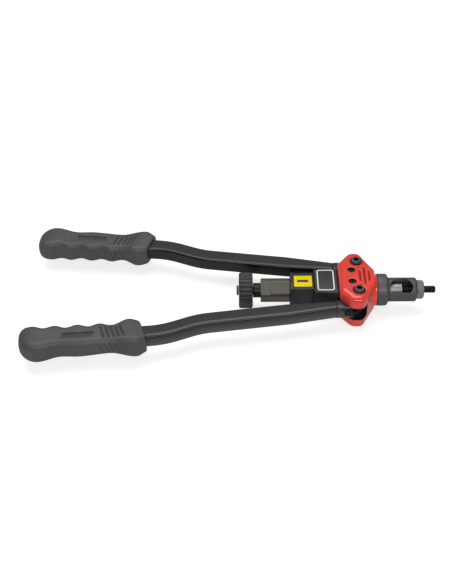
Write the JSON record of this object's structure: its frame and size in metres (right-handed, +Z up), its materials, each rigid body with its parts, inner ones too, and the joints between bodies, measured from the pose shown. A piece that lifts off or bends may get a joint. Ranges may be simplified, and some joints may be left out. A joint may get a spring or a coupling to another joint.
{
  "type": "rivet nut tool",
  "caption": "Two-handed lever rivet nut tool with red head casting, black steel arms, charcoal grips, knob and threaded mandrel",
  "frame": {"origin": "centre of the bounding box on the plane of the lowest points, with the handles closed", "axes": "+X along the mandrel towards its tip, +Z up through the top cheek of the head, +Y towards the upper arm"},
  "size_m": [0.4184, 0.1854, 0.046],
  "materials": {
    "red_paint": "gloss enamel on a casting",
    "black_body": "satin black paint",
    "black_enamel": "gloss black enamel",
    "olive_steel": "bare turned steel with a dark oxide tone",
    "dark_steel": "phosphated steel",
    "bright_steel": "bright turned steel",
    "black_oxide": "black oxide",
    "yoke_steel": "ground steel plate",
    "fastener_steel": "dark oxide fasteners",
    "bronze": "bearing bronze",
    "knob_plastic": "moulded matt plastic",
    "grip_rubber": "matt charcoal rubber"
  },
  "bodies": {
    "head": {"head_casting": "red_paint", "rear_body": "black_body", "guide_block": "black_body", "guide_sleeve": "olive_steel", "guide_bush": "bronze", "pivot_bolt_upper": "fastener_steel", "pivot_bolt_lower": "fastener_steel", "pivot_nut_upper": "fastener_steel", "pivot_nut_lower": "fastener_steel", "pivot_washer_top_upper": "fastener_steel", "pivot_washer_top_lower": "fastener_steel", "pivot_washer_base_upper": "fastener_steel", "pivot_washer_base_lower": "fastener_steel", "set_screw_top_upper": "fastener_steel", "set_screw_top_lower": "fastener_steel", "set_screw_base_upper": "fastener_steel", "set_screw_base_lower": "fastener_steel", "slide_pad_top_upper": "bronze", "slide_pad_top_lower": "bronze", "slide_pad_base_upper": "bronze", "slide_pad_base_lower": "bronze", "tie_screw_top_upper": "fastener_steel", "tie_screw_top_lower": "fastener_steel", "tie_screw_base_upper": "fastener_steel", "tie_screw_base_lower": "fastener_steel"},
    "upper_arm": {"arm_knuckle_upper": "black_enamel", "arm_tube_upper": "black_enamel", "grip_upper": "grip_rubber", "crank_pin_upper": "bright_steel", "pivot_bush_top_upper": "bronze", "pivot_bush_base_upper": "bronze"},
    "lower_arm": {"arm_knuckle_lower": "black_enamel", "arm_tube_lower": "black_enamel", "grip_lower": "grip_rubber", "crank_pin_lower": "bright_steel", "pivot_bush_top_lower": "bronze", "pivot_bush_base_lower": "bronze"},
    "yoke": {"draw_yoke": "yoke_steel", "thrust_washer_front": "bright_steel", "thrust_washer_rear": "bright_steel"},
    "spindle": {"spindle_shaft": "black_oxide", "thrust_nut": "bright_steel", "mandrel_coupling": "bright_steel", "threaded_mandrel": "black_oxide", "neck_collar": "black_oxide", "adjusting_knob": "knob_plastic", "knob_nut": "black_oxide"},
    "lock_ring": {"lock_ring": "dark_steel"},
    "nose": {"nose_housing": "dark_steel", "anvil": "dark_steel"}
  },
  "joints": [
    {"name": "upper_arm_swing", "type": "hinge", "parent": "head", "child": "upper_arm", "pos_m": [0.1284, 0.0215, 0.023], "axis": [0, 0, -1], "range_deg": [0, 40]},
    {"name": "lower_arm_swing", "type": "hinge", "parent": "head", "child": "lower_arm", "pos_m": [0.1284, -0.0215, 0.023], "axis": [0, 0, 1], "range_deg": [0, 40]},
    {"name": "draw_slide", "type": "slide", "parent": "head", "child": "yoke", "axis": [1, 0, 0], "range_m": [0, 0.0067]},
    {"name": "knob_spin", "type": "hinge", "parent": "yoke", "child": "spindle", "pos_m": [0.1284, 0, 0.023], "axis": [1, 0, 0], "continuous": true},
    {"name": "lock_ring_turn", "type": "hinge", "parent": "head", "child": "lock_ring", "pos_m": [0.1544, 0, 0.023], "axis": [1, 0, 0], "continuous": true},
    {"name": "nose_turn", "type": "hinge", "parent": "head", "child": "nose", "pos_m": [0.1603, 0, 0.023], "axis": [1, 0, 0], "range_deg": [-180, 180]}
  ],
  "couplings": [
    {"joint": "lower_arm_swing", "follows": "upper_arm_swing", "ratio": 1},
    {"joint": "draw_slide", "follows": "upper_arm_swing", "m_per_rad": 0.009597}
  ]
}
